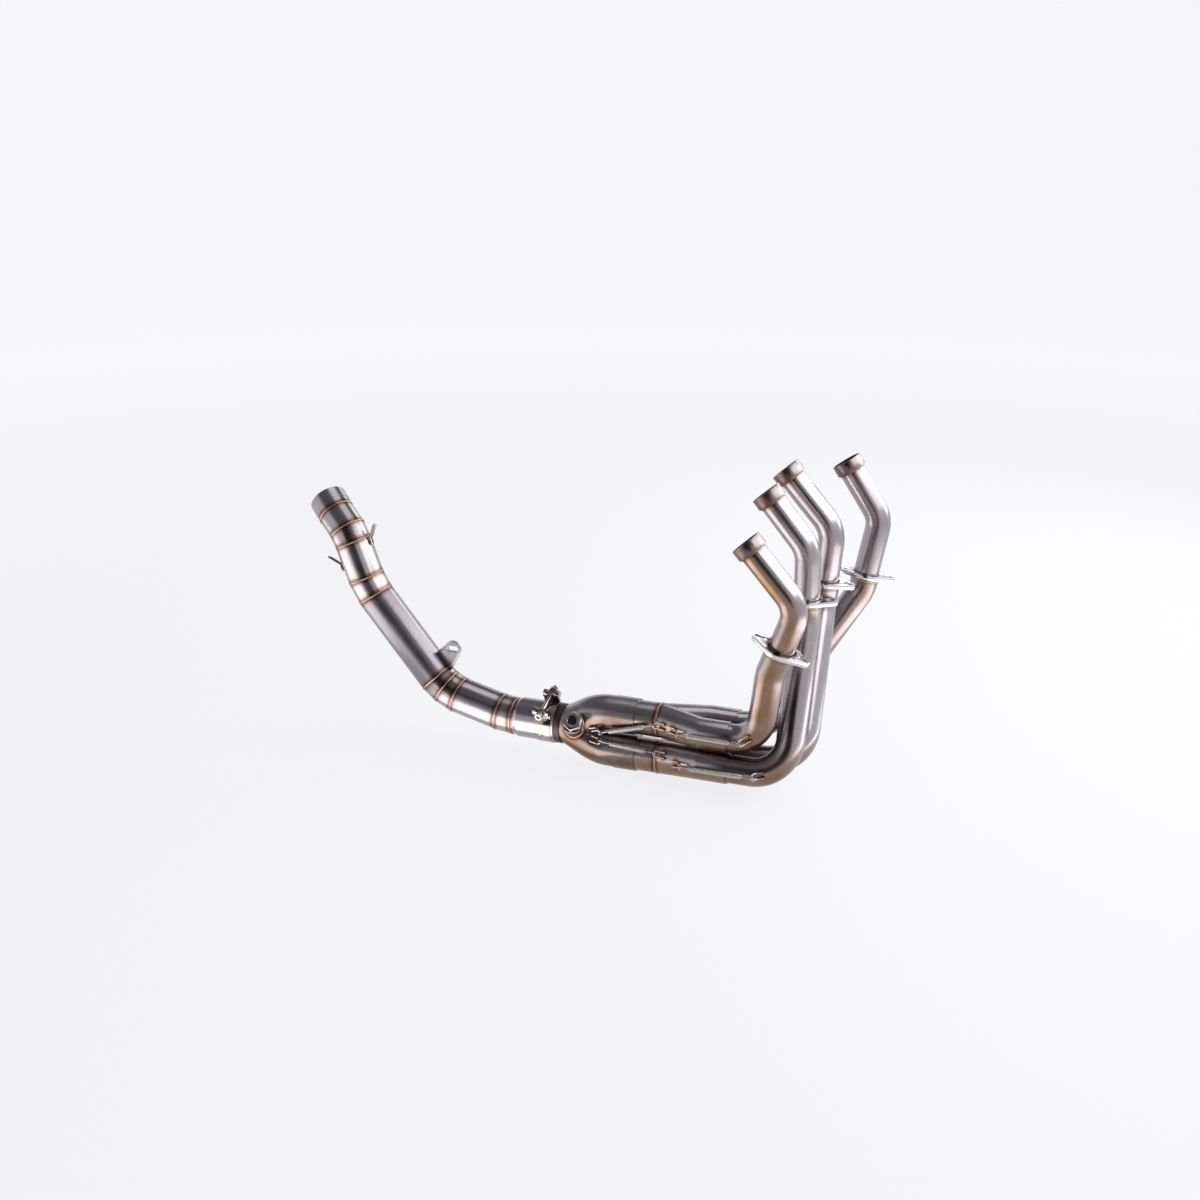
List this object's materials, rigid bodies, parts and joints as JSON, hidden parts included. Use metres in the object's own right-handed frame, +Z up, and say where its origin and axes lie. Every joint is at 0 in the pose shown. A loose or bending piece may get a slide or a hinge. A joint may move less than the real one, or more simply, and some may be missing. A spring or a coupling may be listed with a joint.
{
  "type": "motorcycle exhaust header",
  "caption": "Four-into-two-into-one motorcycle exhaust header with sprung slip joints, loose port flanges, sensor boss, band clamp and mitred link pipe.",
  "frame": {"origin": "on the floor, under the middle of the header's box", "axes": "+X forward, +Y to the rider's left, +Z up; the header stands as it hangs on the bike, its collectors level"},
  "size_m": [0.7638, 0.3027, 0.4013],
  "materials": {
    "tube_metal": "satin, heat tinted at the welds",
    "flange_steel": "polished",
    "ring_steel": "turned, browned",
    "clamp_steel": "bright",
    "spring_steel": "bare wire",
    "hook_wire": "bare wire",
    "plug_steel": "polished",
    "gasket": "matt graphite"
  },
  "bodies": {
    "header": {"clamp_band": "clamp_steel", "clamp_barrel_far": "clamp_steel", "clamp_barrel_near": "clamp_steel", "clamp_bolt": "clamp_steel", "clamp_nut": "clamp_steel", "final_merge": "tube_metal", "hanger_tab": "tube_metal", "head_leg_1": "tube_metal", "head_leg_2": "tube_metal", "head_leg_3": "tube_metal", "head_leg_4": "tube_metal", "head_stub_1": "tube_metal", "head_stub_2": "tube_metal", "head_stub_3": "tube_metal", "head_stub_4": "tube_metal", "joint_gasket": "gasket", "leg_hooks": "hook_wire", "link_gusset_1": "tube_metal", "link_gusset_2": "tube_metal", "link_gusset_3": "tube_metal", "link_gusset_4": "tube_metal", "link_gusset_5": "tube_metal", "link_gusset_6": "tube_metal", "link_inlet": "tube_metal", "link_lower_run": "tube_metal", "link_main_run": "tube_metal", "link_tail": "tube_metal", "link_upper_run": "tube_metal", "lower_collector": "tube_metal", "lower_collector_hooks": "hook_wire", "lower_second_tube": "tube_metal", "merge_hooks": "hook_wire", "plug_washer": "plug_steel", "port_ring_1": "ring_steel", "port_ring_2": "ring_steel", "port_ring_3": "ring_steel", "port_ring_4": "ring_steel", "sensor_boss": "tube_metal", "sensor_plug": "plug_steel", "silencer_hooks": "hook_wire", "spring_leg_1": "spring_steel", "spring_leg_2": "spring_steel", "spring_leg_3": "spring_steel", "spring_leg_4": "spring_steel", "spring_lower_far": "spring_steel", "spring_lower_near": "spring_steel", "spring_upper_far": "spring_steel", "spring_upper_near": "spring_steel", "upper_collector": "tube_metal", "upper_collector_hooks": "hook_wire", "upper_second_tube": "tube_metal"},
    "flange_1": {"port_flange_1": "flange_steel"},
    "flange_2": {"port_flange_2": "flange_steel"},
    "flange_3": {"port_flange_3": "flange_steel"},
    "flange_4": {"port_flange_4": "flange_steel"}
  },
  "joints": [
    {"name": "flange_1_swivel", "type": "hinge", "parent": "header", "child": "flange_1", "pos_m": [0.28972, -0.1215, 0.19947], "axis": [0.3417, 0, 0.9398], "continuous": true},
    {"name": "flange_2_swivel", "type": "hinge", "parent": "header", "child": "flange_2", "pos_m": [0.30176, -0.0375, 0.2395], "axis": [-0.0111, 0, 0.9999], "continuous": true},
    {"name": "flange_3_swivel", "type": "hinge", "parent": "header", "child": "flange_3", "pos_m": [0.30645, 0.0465, 0.2395], "axis": [0.0888, 0, 0.9961], "continuous": true},
    {"name": "flange_4_swivel", "type": "hinge", "parent": "header", "child": "flange_4", "pos_m": [0.34475, 0.1189, 0.23049], "axis": [0.1627, 0.1424, 0.9763], "continuous": true}
  ]
}
